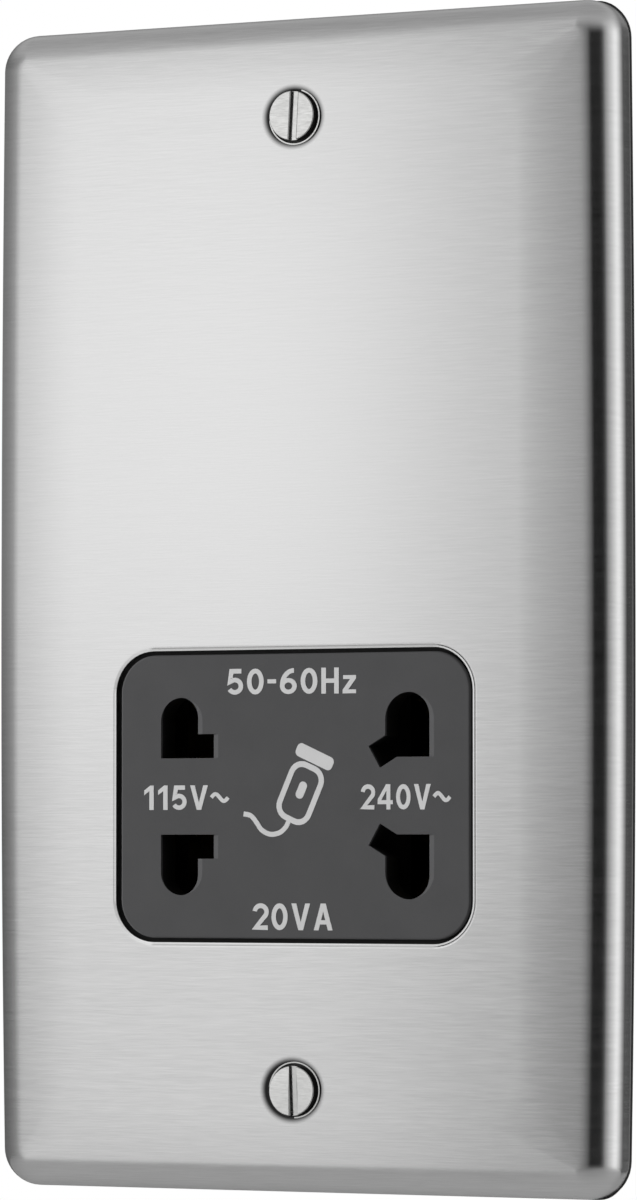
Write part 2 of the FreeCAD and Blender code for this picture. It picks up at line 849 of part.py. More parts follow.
def housing_screws():
    """Four screws through the housing's lugs into the frame."""
    shank = [(small_screw_r, lug_t + small_bite)]
    return [
        slotted_screw(
            x, z, frame_back + lug_t, 1, small_head_r, small_head_h, small_slot_w, small_slot_d, shank
        )
        for x, z in housing_screw_places()
    ]


def terminal_centres():
    """X of each terminal. The last one is the earth."""
    return [(i - (way_count - 1) / 2) * way_pitch for i in range(way_count)]


def terminal_z():
    """Height of the terminal row: the middle of the housing's shallow part."""
    return (housing_low + step_z) / 2


def clamp_seat():
    """Y of the floor that the clamps stand on."""
    return lower_back + block_floor


def strap_place():
    """X of the strap's outer face beside the housing, X of its foot's end, and its height."""
    end = skirt_w / 2 - frame_inset - frame_wall - strap_end_clear
    return housing_half + slider_clear + strap_t, end, terminal_z()


def terminal_block():
    """Moulded block on the housing's shallow part, with a pocket and a wire entry for each clamp."""
    half = way_pitch * (way_count - 1) / 2 + clamp_size / 2 + clamp_clear + block_wall
    half_z = clamp_size / 2 + clamp_clear + block_wall
    z = terminal_z()
    back = clamp_seat() + clamp_depth + block_cover
    body = box(-half, half, lower_back, back, z - half_z, z + half_z)
    pocket = clamp_size / 2 + clamp_clear
    for x in terminal_centres():
        body = body.cut(box(x - pocket, x + pocket, clamp_seat(), back, z - pocket, z + pocket))
        entry = V(x, clamp_seat() + clamp_bore_y, z - half_z)
        body = body.cut(Part.makeCylinder(clamp_bore_r + clamp_clear, half_z, entry, ALONG_Z))
    groove = strap_w / 2 + clamp_clear
    earth_x = terminal_centres()[-1]
    under = clamp_seat() - strap_t - fit_clear
    return body.cut(box(earth_x - pocket, half, under, clamp_seat(), z - groove, z + groove))


def terminal_clamps():
    """Brass clamps: a wire bore from below and a screw hole from behind."""
    clamps = []
    z = terminal_z()
    half = clamp_size / 2
    seat = clamp_seat()
    for x in terminal_centres():
        body = box(x - half, x + half, seat, seat + clamp_depth, z - half, z + half)
        bore = Part.makeCylinder(clamp_bore_r, clamp_size, V(x, seat + clamp_bore_y, z - half), ALONG_Z)
        hole = cylinder_y(x, z, seat + clamp_bore_y, seat + clamp_depth, terminal_screw_r + fit_clear)
        clamps.append(body.cut(bore).cut(hole))
    return clamps


def terminal_screws():
    """One clamp screw in each terminal, driven from behind."""
    seat = clamp_seat() + clamp_depth
    shank = [(terminal_screw_r, clamp_depth - clamp_bore_y - clamp_bore_r)]
    return [
        slotted_screw(
            x, terminal_z(), seat, 1, terminal_head_r, terminal_head_h, small_slot_w, small_slot_d, shank
        )
        for x in terminal_centres()
    ]


def earth_strap():
    """Strip from under the earth clamp, round the housing's side and through the frame to the plate."""
    x, end, z = strap_place()
    side = x - strap_t / 2
    back = clamp_seat() - strap_t / 2
    foot = inner_y + strap_t / 2
    start = terminal_centres()[-1] - clamp_size / 2
    points = [(start, back), (side, back), (side, foot), (end, foot)]

    def place(u, w):
        return V(u, w, z - strap_w / 2)

    return folded_strip(points, strap_t, place, ALONG_Z, strap_w)


def fixing_screws():
    """Two slotted screws on the plate's centre line, with a collar that bears on the sheet."""
    screws = []
    neck_end = plate_depth - thread_r
    for side in (-1, 1):
        z = side * fixing_pitch / 2
        shanks = [(neck_r, neck_end), (thread_r, plate_depth + screw_reach)]
        screw = slotted_screw(0, z, plate_y, -1, head_r, head_h, driver_slot_w, driver_slot_d, shanks)
        collar = cylinder_y(0, z, plate_y - collar_h, plate_y, collar_r)
        screws.append(screw.fuse(collar).removeSplitter())
    return screws


parts = {
    "front_plate": [front_plate()],
    "mounting_frame": [mounting_frame()],
    "socket_insert": [socket_insert()],
    "interlock_slider": [interlock_slider()],
    "slider_spring_left": [slider_spring(-1)],
    "slider_spring_right": [slider_spring(1)],
    "contact_carrier": [contact_carrier()],
    "contact_115_upper": [contact_clip(low_volt_pin)],
    "contact_115_lower": [mirrored(contact_clip(low_volt_pin))],
    "contact_240_upper": [contact_clip(high_volt_pin)],
    "contact_240_lower": [mirrored(contact_clip(high_volt_pin))],
    "carrier_screws": carrier_screws(),
    "switch_block": [switch_block()],
    "switch_leaf_left": [switch_leaf(-leaf_x)],
    "switch_leaf_right": [switch_leaf(leaf_x)],
    "switch_contacts": [switch_leaf(-fixed_x), switch_leaf(fixed_x)],
    "core_e_stack": [core_e_stack()],
    "core_i_stack": [core_i_stack()],
    "bobbin": [bobbin()],
    "primary_winding": [primary_winding()],
    "secondary_winding": [secondary_winding()],
    "thermal_cutout": [thermal_cutout()],
    "rear_housing": [rear_housing()],
    "housing_screws": housing_screws(),
    "terminal_block": [terminal_block()],
    "terminal_clamps": terminal_clamps(),
    "terminal_screws": terminal_screws(),
    "earth_strap": [earth_strap()],
    "fixing_screws": fixing_screws(),
}

os.makedirs("parts", exist_ok=True)
for name, pieces in parts.items():
    shape = pieces[0] if len(pieces) == 1 else Part.makeCompound(pieces)
    shape.exportStep(os.path.join("parts", name + ".step"))
    print(name, "solids", len(shape.Solids), "valid", shape.isValid(), "volume", round(shape.Volume, 1))
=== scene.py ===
import math

import bmesh
import bpy
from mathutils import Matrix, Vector


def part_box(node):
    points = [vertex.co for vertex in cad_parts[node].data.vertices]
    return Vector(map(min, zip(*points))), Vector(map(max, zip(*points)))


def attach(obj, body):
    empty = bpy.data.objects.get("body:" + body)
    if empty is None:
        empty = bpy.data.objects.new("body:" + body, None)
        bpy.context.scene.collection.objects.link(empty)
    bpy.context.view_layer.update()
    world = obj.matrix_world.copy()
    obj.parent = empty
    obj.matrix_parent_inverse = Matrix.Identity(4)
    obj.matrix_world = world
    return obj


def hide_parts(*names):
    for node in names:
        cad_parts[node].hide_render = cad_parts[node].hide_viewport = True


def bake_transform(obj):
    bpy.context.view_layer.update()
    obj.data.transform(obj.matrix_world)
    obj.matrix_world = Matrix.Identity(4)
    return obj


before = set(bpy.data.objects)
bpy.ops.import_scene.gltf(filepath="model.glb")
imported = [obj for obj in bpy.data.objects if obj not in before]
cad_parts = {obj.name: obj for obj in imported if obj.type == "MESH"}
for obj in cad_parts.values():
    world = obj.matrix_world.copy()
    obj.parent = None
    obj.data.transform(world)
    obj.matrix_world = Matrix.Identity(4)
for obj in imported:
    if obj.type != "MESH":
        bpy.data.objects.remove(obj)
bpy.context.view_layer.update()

MM = 0.001
scene = bpy.context.scene
scene.view_settings.view_transform = "Standard"


def node_box(name):
    """Lowest and highest corner of a solid, in millimetres."""
    return [[round(value / MM, 3) for value in corner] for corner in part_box(name)]


# Sizes taken from the solids, in millimetres like all sizes below
PLATE_LOW, PLATE_HIGH = node_box("front_plate")
PLATE_W, PLATE_H = PLATE_HIGH[0] - PLATE_LOW[0], PLATE_HIGH[2] - PLATE_LOW[2]
PLATE_Y, RIM_Y = PLATE_LOW[1], PLATE_HIGH[1]
INSERT_LOW, INSERT_HIGH = node_box("socket_insert")
INSERT_Z, FACE_Y = (INSERT_LOW[2] + INSERT_HIGH[2]) / 2, INSERT_LOW[1]
SHANK_END = node_box("fixing_screws")[1][1]
LEAF_LOW, LEAF_HIGH = node_box("switch_leaf_right")

# Plate: sheet, outside radius of the roll, flare at the rim, corner radius there, and the share of the way in
# by which the corners widen again on the flat
SHEET, ROLL_R, ROLL_STEPS = 0.8, 4.0, 20
FLARE_W, FLARE_H, FLARE_EDGE = 0.12, 0.4, 0.06
RIM_R, FLAT_CORNER_SHARE = 4.8, 0.9
# Soft crown before the roll: width, slope in degrees at the roll, and how much wider it is on the long sides
CROWN_W, CROWN_SLOPE, CROWN_STRETCH = 6.0, 4.0, 1.5
# The long sides draw in towards the ends: how far at each end, and between which X on the plate and the frame
UPPER_BOW, LOWER_BOW, BOW_STEPS = 0.42, 0.75, 24
PLATE_BOW_X, FRAME_BOW_X = (26.0, 37.0), (38.0, 41.5)
# Opening for the insert, and its turned edge from outside in: distance from the opening, drop from the front.
# The drop grows from a small share on the left to its full size on the right
OPENING_W, OPENING_H, OPENING_R, OPENING_X = 49.0, 36.3, 5.3, -0.28
OPENING_EDGE = (
    (0.62, 0.0), (0.55, 0.003), (0.47, 0.01), (0.42, 0.02),
    (0.38, 0.026), (0.24, 0.15), (0.03, 0.155), (0.0, 0.19),
)
TURNED_X, TURNED_LEAST = (-8.0, 16.0), 0.1

# Fixing screws: place and hole, loose collar, cheese head, and how much of the head tilts
FIXING_Z, SCREW_X, SCREW_HOLE_R = 60.3, 0.11, 2.2
SCREW_STEPS, HOLE_STEPS = 64, 40
COLLAR_R, COLLAR_T, COLLAR_EDGE, FOOT_GAP = 3.5, 0.26, 0.02, 0.01
HEAD_R, HEAD_PROUD, HEAD_EDGE, HEAD_STEPS = 3.05, 0.96, 0.1, 5
TILTED_H = 0.5
# Groove round a head, which with the head's side is painted black as shade: width, how far below the head's
# front the shade starts, how far it goes past its sides
GROOVE_W, GROOVE_TOP, GROOVE_INSIDE, GROOVE_OUTSIDE = 0.25, 0.2, 0.05, 0.01
# Driver slot, and how far its cutter stands over the head and past its sides
DRIVER_SLOT_W, DRIVER_SLOT_D, DRIVER_BEVEL, DRIVER_X = 1.0, 0.55, 0.12, 0.25
CUT_OVER, CUT_PAST = 0.5, 0.1
# Shank and thread: the thread fades in and out over a length, to a share of its depth at the end
SHANK_R, NECK_EDGE, TIP_L, TIP_CHAMFER = 1.75, 0.05, 0.4, 0.5
THREAD_START, THREAD_PITCH, THREAD_DEPTH, THREAD_ROWS = 4.0, 0.6, 0.34, 6
THREAD_FADE, THREAD_LAST = 0.8, 0.3
# Each screw: piece, height, turn of the slot and tilt in degrees, and the collar's shift to the right and up
SCREWS = (
    ("fixing_screw_upper", FIXING_Z, -3.0, 0.0, (0.1, -0.12)),
    ("fixing_screw_lower", -FIXING_Z, 2.0, 2.5, (0.1, 0.09)),
)

# Painted shade round a screw's collar: its reach from the middle, how far the middle lies left of the screw
# and towards the plate's centre, how much more to the left and all round at the lower screw, how much wider
# it is than high, and what is left of the colour
COLLAR_SHADE_REACH = (3.5, 4.5)
COLLAR_SHADE_LEFT, COLLAR_SHADE_IN = 0.05, 0.08
COLLAR_SHADE_LOWER_LEFT, COLLAR_SHADE_LOWER_REACH = 0.15, 0.1
COLLAR_SHADE_SQUAT, COLLAR_SHADE_LEVELS = 1.06, (0.03, 1.0)
# Levels along Y between which painted shade turns the insert's slots black
SLOT_SHADE_Y = (-6.17, -6.0)
SLOT_BLACK = (0.002, 0.002, 0.002)

# Print on the insert: how far it stands out of the face and goes into it; stroke and gap in letter heights
MARK_T = 0.03
STROKE, LETTER_GAP = 0.18, 0.15
# Lettering: piece, text, left and right X, height of its middle over the insert's middle, letter height
MARKS = (
    ("mark_115", "115V~", -20.8, -9.0, -0.15, 3.05),
    ("mark_240", "240V~", 9.25, 21.3, -0.15, 3.1),
    ("mark_frequency", "50-60Hz", -9.2, 8.6, 14.2, 3.2),
    ("mark_load", "20VA", -5.6, 5.4, -14.9, 3.3),
)
# Sign between the slots: place from the insert's middle and turn in degrees, strokes of its case and lead,
# and its shapes as width, height, corner radius and height of their middle
SIGN_X, SIGN_Z, SIGN_TURN = 1.2, 0.9, -24.0
CASE_STROKE, LEAD_STROKE = 0.72, 0.62
CASE, FOIL, BUTTON = (4.3, 7.0, 1.5, -0.6), (5.4, 1.7, 0.6, 4.3), (1.1, 2.2, 0.5, -0.2)
LEAD = (
    (-0.05, -4.45), (-0.1, -5.2), (-0.6, -6.2), (-1.7, -6.9),
    (-3.0, -6.9), (-4.1, -6.3), (-5.1, -5.9), (-6.1, -6.1),
)

# Switch leaves: where they leave their block, where they are bent, and how far the bend goes to the middle
LEAF_ROOT_Z, LEAF_BENT_Z, LEAF_JOG, LEAF_STEPS = -2.5, -4.0, 0.27, 8

# Camera: place, turn and tilt in degrees, focal length and sensor
CAMERA_AT = (332.24, -682.85, -30.33)
CAMERA_TURN, CAMERA_TILT = 25.928, 2.322
CAMERA_LENS, SENSOR_H = 182.96, 36.0

# Stage and soft lamps for the matt surfaces. Each lamp: name, bearing and rise in degrees, power
FLOOR_Z, FLOOR_R, STUDIO_R = -250.0, 600.0, 1600.0
LAMP_DISTANCE, LAMP_SIZE, LAMP_SPREAD = 1000.0, 300.0, 26.0
LAMPS = (
    ("key_lamp", -64.0, 4.0, 0.45),
    ("fill_lamp", 140.0, 8.0, 0.34),
)
# Brightness of the studio round the part: by bearing in degrees from the plate's front, right positive, and
# by height, the sine of the elevation
BEARINGS = (
    (-180, 0.20), (-119, 0.23), (-89, 0.29), (-69, 0.36), (-50, 0.49), (-38, 0.74), (-34, 1.03), (-31, 1.23),
    (-27.3, 1.34), (-25.2, 1.34), (-24.0, 1.02), (-23.2, 0.76), (-22, 0.70), (-19, 0.61), (-16, 0.46),
    (-4, 0.30), (6, 0.18), (12, 0.06), (17, 0.012), (36, 0.004), (48, 0.02), (57, 0.11), (66, 0.40),
    (82, 0.71), (102, 1.14), (110, 1.14), (121, 0.88), (130, 0.57), (142, 0.26), (153, 0.06), (180, 0.18),
)
HEIGHTS = (
    (-1.0, 0.50), (-0.6, 0.50), (-0.4, 0.54), (-0.174, 0.58), (-0.12, 0.60), (-0.07, 0.54), (-0.026, 0.50),
    (0.0, 0.64), (0.026, 0.90), (0.061, 1.05), (0.085, 0.98), (0.105, 0.91), (0.156, 0.82), (0.276, 0.60),
    (0.423, 0.52), (0.616, 0.53), (0.788, 0.46), (0.927, 0.40), (1.0, 0.40),
)
# To the right the brightness does not change with height: share of that by bearing, and the level there
EVEN_BEARINGS = ((-180, 0.0), (52, 0.0), (80, 1.0), (150, 1.0), (180, 0.0))
EVEN_LEVEL = 0.91
# Heights, up or down, between which the bearing loses its part, and the level beyond
STEEP, STEEP_LEVEL = (0.3, 0.75), 0.95

# Meshes: edges that turn by more degrees than this stay sharp, and cuts join points that are nearer than this
SHARP_ANGLE, CUT_JOIN = 30.0, 0.001
# Strokes: a corner reaches out no more than its width over twice this
MITRE_LEAST = 0.5
# Bands of a wave texture at scale 1, in metres
WAVE_PERIOD = math.pi / 10
# Direction of the brushing; the small second part keeps its cross product with a side's normal from vanishing
BRUSH_AXIS = (1.0, 0.0001, 0.0)


# Materials

def new_material(name):
    """A material, its node tree and its shader."""
    mat = bpy.data.materials.new(name)
    mat.use_nodes = True
    tree = mat.node_tree
    bsdf = next(n for n in tree.nodes if n.type == "BSDF_PRINCIPLED")
    return mat, tree, bsdf


def add(tree, kind, **values):
    """A new node with some of its properties set."""
    node = tree.nodes.new(kind)
    for key, value in values.items():
        setattr(node, key, value)
    return node


def feed(tree, socket, value):
    """Gives an input a number, a colour or the output of another node."""
    if isinstance(value, (int, float)):
        socket.default_value = value
    elif isinstance(value, tuple):
        socket.default_value = (*value, 1)
    else:
        tree.links.new(value, socket)


def math_node(tree, operation, *values):
    """The result of an operation on numbers and outputs."""
    node = add(tree, "ShaderNodeMath", operation=operation)
    for socket, value in zip(node.inputs, values):
        feed(tree, socket, value)
    return node.outputs[0]


def mix_values(tree, share, a, b):
    """A blend of two values."""
    node = add(tree, "ShaderNodeMix", data_type="FLOAT")
    for index, value in ((0, share), (2, a), (3, b)):
        feed(tree, node.inputs[index], value)
    return node.outputs[0]


def mix_colours(tree, share, a, b, blend_type="MIX"):
    """A blend of two colours."""
    node = add(tree, "ShaderNodeMix", data_type="RGBA", blend_type=blend_type)
    for index, value in ((0, share), (6, a), (7, b)):
        feed(tree, node.inputs[index], value)
    return node.outputs[2]


def object_axes(tree):
    """The place on the object along each axis, in metres."""
    coord = add(tree, "ShaderNodeTexCoord")
    axes = add(tree, "ShaderNodeSeparateXYZ")
    tree.links.new(coord.outputs["Object"], axes.inputs[0])
    return axes.outputs


def grain(tree, scale=1.0, stretch=(1, 1, 1), detail=3.0, rough=0.55):
    """Noise in the object's own metres, stretched per axis."""
    coord = add(tree, "ShaderNodeTexCoord")
    mapping = add(tree, "ShaderNodeMapping")
    mapping.inputs["Scale"].default_value = stretch
    noise = add(tree, "ShaderNodeTexNoise")
    noise.inputs["Scale"].default_value = scale
    noise.inputs["Detail"].default_value = detail
    noise.inputs["Roughness"].default_value = rough
    tree.links.new(coord.outputs["Object"], mapping.inputs["Vector"])
    tree.links.new(mapping.outputs["Vector"], noise.inputs["Vector"])
    return noise.outputs["Fac"]


def spread(tree, value, low, high, start=0.25, end=0.75, interpolation="LINEAR"):
    """Maps a value from start to end, which suit noise, to the range low to high."""
    node = add(tree, "ShaderNodeMapRange", interpolation_type=interpolation)
    for name, number in (("From Min", start), ("From Max", end), ("To Min", low), ("To Max", high)):
        node.inputs[name].default_value = number
    tree.links.new(value, node.inputs["Value"])
    return node.outputs["Result"]


def tint(tree, noise, dark, light):
    """Mixes two colours by a noise value."""
    return mix_colours(tree, spread(tree, noise, 0.0, 1.0), dark, light)


def vary_roughness(tree, bsdf, noise, rough, less, more):
    """Varies the shader's roughness by a noise value."""
    tree.links.new(spread(tree, noise, rough - less, rough + more), bsdf.inputs["Roughness"])


def bump(tree, bsdf, height, depth, strength):
    """Gives the shader a relief of some depth."""
    node = add(tree, "ShaderNodeBump")
    node.inputs["Distance"].default_value = depth * MM
    node.inputs["Strength"].default_value = strength
    tree.links.new(height, node.inputs["Height"])
    tree.links.new(node.outputs["Normal"], bsdf.inputs["Normal"])


def paint_collar_shade(tree, colour):
    """Paints shade: darkens a colour softly round the collars of the two fixing screws."""
    axes = object_axes(tree)
    lower = math_node(tree, "LESS_THAN", axes["Z"], 0.0)
    to_left = math_node(tree, "MULTIPLY", lower, COLLAR_SHADE_LOWER_LEFT * MM)
    side = math_node(tree, "ADD", math_node(tree, "ADD", axes["X"], COLLAR_SHADE_LEFT * MM), to_left)
    up = math_node(tree, "SUBTRACT", math_node(tree, "ABSOLUTE", axes["Z"]), (FIXING_Z - COLLAR_SHADE_IN) * MM)
    up = math_node(tree, "MULTIPLY", up, COLLAR_SHADE_SQUAT)
    squares = [math_node(tree, "MULTIPLY", part, part) for part in (side, up)]
    distance = math_node(tree, "SQRT", math_node(tree, "ADD", *squares))
    wider = math_node(tree, "MULTIPLY", lower, COLLAR_SHADE_LOWER_REACH * MM)
    distance = math_node(tree, "SUBTRACT", distance, wider)
    reach = [value * MM for value in COLLAR_SHADE_REACH]
    fade = spread(tree, distance, *COLLAR_SHADE_LEVELS, *reach, interpolation="SMOOTHSTEP")
    return mix_colours(tree, 1.0, colour, fade, "MULTIPLY")


def slot_shade(tree, colour):
    """Paints shade: blackens a colour behind a level along Y, as in narrow slots that no light gets into."""
    start, end = [level * MM for level in SLOT_SHADE_Y]
    shade = spread(tree, object_axes(tree)["Y"], 0.0, 1.0, start, end)
    return mix_colours(tree, shade, colour, SLOT_BLACK)


def brushed_metal(name, dark, light, rough, anisotropic, lines, depth):
    """Metal with fine lines from side to side, which vary its colour, gloss and height. Painted shade darkens
    it round its screws."""
    mat, tree, bsdf = new_material(name)
    bsdf.inputs["Metallic"].default_value = 1.0
    bsdf.inputs["Anisotropic"].default_value = anisotropic
    fine = grain(tree, stretch=lines, detail=4.0, rough=0.6)
    broader = (lines[0] / 4, lines[1] / 4, lines[2] / 6)
    broad = grain(tree, stretch=broader, rough=0.5)
    broad_share = 0.25
    both = mix_values(tree, broad_share, fine, broad)
    # Painted shade round the screws' collars, put into the steel's colour
    colour = paint_collar_shade(tree, tint(tree, both, dark, light))
    tree.links.new(colour, bsdf.inputs["Base Color"])
    vary_roughness(tree, bsdf, both, rough, less=0.03, more=0.03)
    bump(tree, bsdf, fine, depth, strength=0.5)
    surface = add(tree, "ShaderNodeNewGeometry")
    across = add(tree, "ShaderNodeVectorMath", operation="CROSS_PRODUCT")
    across.inputs[0].default_value = BRUSH_AXIS
    tree.links.new(surface.outputs["Normal"], across.inputs[1])
    tree.links.new(across.outputs["Vector"], bsdf.inputs["Tangent"])
    return mat


def plain_metal(name, dark, light, rough):
    """Rolled or plated metal with soft blotches and fine scratches."""
    mat, tree, bsdf = new_material(name)
    bsdf.inputs["Metallic"].default_value = 1.0
    blotch = grain(tree, scale=220.0, detail=4.0)
    tree.links.new(tint(tree, blotch, dark, light), bsdf.inputs["Base Color"])
    scratch = grain(tree, stretch=(900, 900, 6000))
    vary_roughness(tree, bsdf, scratch, rough, less=0.06, more=0.08)
    bump(tree, bsdf, scratch, depth=0.004, strength=0.5)
    return mat


def moulded(name, dark, light, rough, fineness, depth, slots=False):
    """Moulded plastic with slight blotches in its colour and a spark-eroded grain. Its slots may get painted
    shade.
    """
    mat, tree, bsdf = new_material(name)
    cloud = grain(tree, scale=160.0, detail=4.0)
    texture = grain(tree, scale=fineness, rough=0.6)
    texture_share = 0.5
    colour = tint(tree, mix_values(tree, texture_share, cloud, texture), dark, light)
    if slots:
        # Painted shade blackens the deep slots
        colour = slot_shade(tree, colour)
    tree.links.new(colour, bsdf.inputs["Base Color"])
    vary_roughness(tree, bsdf, texture, rough, less=0.06, more=0.06)
    bump(tree, bsdf, texture, depth, strength=0.6)
    return mat


def striped(name, dark, light, rough, period, axis, depth):
    """Metal with bands along one axis, as a stack of sheets or the turns of a winding shows them."""
    mat, tree, bsdf = new_material(name)
    bsdf.inputs["Metallic"].default_value = 1.0
    coord = add(tree, "ShaderNodeTexCoord")
    wave = add(tree, "ShaderNodeTexWave", wave_type="BANDS", bands_direction=axis, wave_profile="SIN")
    wave.inputs["Scale"].default_value = WAVE_PERIOD / (period * MM)
    wave.inputs["Distortion"].default_value = 0.6
    wave.inputs["Detail"].default_value = 2.0
    tree.links.new(coord.outputs["Object"], wave.inputs["Vector"])
    blotch = grain(tree, scale=300.0)
    blotch_share = 0.35
    both = mix_values(tree, blotch_share, wave.outputs["Fac"], blotch)
    tree.links.new(tint(tree, both, dark, light), bsdf.inputs["Base Color"])
    vary_roughness(tree, bsdf, blotch, rough, less=0.05, more=0.1)
    bump(tree, bsdf, wave.outputs["Fac"], depth, strength=0.6)
    return mat


def grey(level):
    """A colour without a hue."""
    return (level, level, level)


STEEL = brushed_metal(
    "steel_brushed", grey(0.68), grey(0.83),
    rough=0.18, anisotropic=0.85, lines=(260, 260, 7500), depth=0.0008,
)
SCREW = plain_metal("screw_plated", (0.74, 0.74, 0.73), (0.86, 0.86, 0.85), rough=0.20)
SPRING = plain_metal("spring_steel", grey(0.50), grey(0.62), rough=0.28)
BRASS = plain_metal("brass_strip", (0.66, 0.49, 0.20), (0.78, 0.61, 0.29), rough=0.32)
INSERT = moulded(
    "insert_grey", (0.066, 0.066, 0.068), (0.084, 0.084, 0.086),
    rough=0.6, fineness=5200.0, depth=0.02, slots=True,
)
BLACK = moulded("frame_black", grey(0.012), grey(0.022), rough=0.5, fineness=4000.0, depth=0.02)
HOUSING = moulded(
    "housing_dark", (0.050, 0.050, 0.052), (0.066, 0.066, 0.068),
    rough=0.52, fineness=3200.0, depth=0.03,
)
WHITE = moulded(
    "moulding_white", (0.70, 0.69, 0.65), (0.78, 0.77, 0.73),
    rough=0.45, fineness=3600.0, depth=0.01,
)
INK = moulded("print_grey", grey(0.59), grey(0.66), rough=0.6, fineness=9000.0, depth=0.002)
LAMINATION = striped(
    "core_sheets", (0.10, 0.10, 0.11), (0.30, 0.30, 0.31),
    rough=0.45, period=0.5, axis="Y", depth=0.03,
)
COPPER = striped(
    "copper_turns", (0.34, 0.12, 0.05), (0.66, 0.30, 0.15),
    rough=0.35, period=0.4, axis="Z", depth=0.06,
)

NODE_MATERIALS = {
    "front_plate": STEEL,
    "fixing_screws": SCREW,
    "socket_insert": INSERT,
    "mounting_frame": BLACK,
    "interlock_slider": BLACK,
    "slider_spring_left": SPRING,
    "slider_spring_right": SPRING,
    "contact_carrier": BLACK,
    "contact_115_upper": BRASS,
    "contact_115_lower": BRASS,
    "contact_240_upper": BRASS,
    "contact_240_lower": BRASS,
    "carrier_screws": SCREW,
    "switch_block": WHITE,
    "switch_leaf_left": BRASS,
    "switch_leaf_right": BRASS,
    "switch_contacts": BRASS,
    "core_e_stack": LAMINATION,
    "core_i_stack": LAMINATION,
    "bobbin": WHITE,
    "primary_winding": COPPER,
    "secondary_winding": COPPER,
    "thermal_cutout": BLACK,
    "rear_housing": HOUSING,
    "housing_screws": SCREW,
    "terminal_block": WHITE,
    "terminal_clamps": BRASS,
    "terminal_screws": SCREW,
    "earth_strap": BRASS,
}
for node_name, node_material in NODE_MATERIALS.items():
    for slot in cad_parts[node_name].material_slots:
        slot.material = node_material


# Shapes

def finish_mesh(name, bm, material, body):
    """Turns a bmesh in millimetres into a piece with smooth faces and sharp edges. A piece that bends between
    two bodies has no body of its own."""
    bmesh.ops.recalc_face_normals(bm, faces=bm.faces)
    for v in bm.verts:
        v.co *= MM
    for f in bm.faces:
        f.smooth = True
    mesh = bpy.data.meshes.new(name)
    bm.to_mesh(mesh)
    bm.free()
    mesh.set_sharp_from_angle(angle=math.radians(SHARP_ANGLE))
    mesh.materials.append(material)
    obj = bpy.data.objects.new(name, mesh)
    scene.collection.objects.link(obj)
    weighted = obj.modifiers.new("weighted", "WEIGHTED_NORMAL")
    weighted.keep_sharp = True
    if body:
        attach(obj, body)
    return obj


def part_way(value, start, end, least=0.0):
    """How far a value is on the way from start to end, as a share from least to 1."""
    return min(max((value - start) / (end - start), least), 1)


def rounded_loop(w, h, r, z=0.0, steps=12, side_steps=1):
    """Points of a rounded rectangle as (x, z), counter-clockwise from the right side's top."""
    points = []
    for i, (sx, sz) in enumerate(((1, 1), (-1, 1), (-1, -1), (1, -1))):
        cx, cz = sx * (w / 2 - r), z + sz * (h / 2 - r)
        for k in range(steps + 1):
            a = math.radians(90 * i + 90 * k / steps)
            points.append((cx + r * math.cos(a), cz + r * math.sin(a)))
        for k in range(1, side_steps if sx * sz < 0 else 1):
            points.append((sx * w / 2, cz - 2 * sz * (h / 2 - r) * k / side_steps))
    return points


def circle_loop(r, x, z, steps):
    """Points of a circle as (x, z)."""
    angles = [2 * math.pi * k / steps for k in range(steps)]
    return [(x + r * math.cos(a), z + r * math.sin(a)) for a in angles]


def arc(cx, cz, rx, rz, start, end, steps=20):
    """Points of an ellipse's arc from one angle to another, in degrees."""
    angles = [math.radians(start + (end - start) * k / steps) for k in range(steps + 1)]
    return [(cx + rx * math.cos(a), cz + rz * math.sin(a)) for a in angles]


def smooth_path(points, steps=5):
    """A smooth line through points."""
    out = []
    ends = [points[0]] + points + [points[-1]]
    for a, b, c, d in zip(ends, ends[1:], ends[2:], ends[3:]):
        for k in range(steps):
            t = k / steps
            place = []
            for p, q, r, s in zip(a, b, c, d):
                square, cube = 2 * p - 5 * q + 4 * r - s, 3 * q - p - 3 * r + s
                place.append(0.5 * (2 * q + (r - p) * t + square * t ** 2 + cube * t ** 3))
            out.append(tuple(place))
    return out + [points[-1]]


def ribbon(points, width, closed=False):
    """Outline of a stroke of even width along points: one loop, or two where the stroke is closed."""
    count = len(points)
    sides = ([], [])
    for i, (x, z) in enumerate(points):
        before = points[i - 1] if i or closed else None
        after = points[(i + 1) % count] if i < count - 1 or closed else None
        steps = []
        for a, b in ((before, (x, z)), ((x, z), after)):
            if a is not None and b is not None:
                length = math.hypot(b[0] - a[0], b[1] - a[1])
                steps.append(((b[0] - a[0]) / length, (b[1] - a[1]) / length))
        nx = -sum(step[1] for step in steps)
        nz = sum(step[0] for step in steps)
        size = math.hypot(nx, nz)
        nx, nz = nx / size, nz / size
        reach = width / 2 / max(MITRE_LEAST, abs(nz * steps[0][0] - nx * steps[0][1]))
        sides[0].append((x + nx * reach, z + nz * reach))
        sides[1].append((x - nx * reach, z - nz * reach))
    if closed:
        return [sides[1], sides[0]]
    return [sides[0] + sides[1][::-1]]


def ring(bm, points, y):
    """Vertices at points (x, z) on one level."""
    return [bm.verts.new((x, y, z)) for x, z in points]


def bridge(bm, rings):
    """Faces between each ring of vertices and the next."""
    for a, b in zip(rings, rings[1:]):
        for i in range(len(a)):
            j = (i + 1) % len(a)
            bm.faces.new((a[i], a[j], b[j], b[i]))


def fill_flat(bm, loops):
    """Fills the flat area between an outer loop of vertices and the loops inside it."""
    edges = []
    for loop in loops:
        for i, v in enumerate(loop):
            w = loop[(i + 1) % len(loop)]
            edges.append(bm.edges.get((v, w)) or bm.edges.new((v, w)))
    bmesh.ops.triangle_fill(bm, use_beauty=True, use_dissolve=False, edges=edges)


def prism(bm, loops, y_front, y_back):
    """A flat shape with straight sides: its outer loop of (x, z) points, then the holes in it."""
    fronts = [ring(bm, loop, y_front) for loop in loops]
    backs = [ring(bm, loop, y_back) for loop in loops]
    for pair in zip(fronts, backs):
        bridge(bm, pair)
    fill_flat(bm, fronts)
    fill_flat(bm, backs)


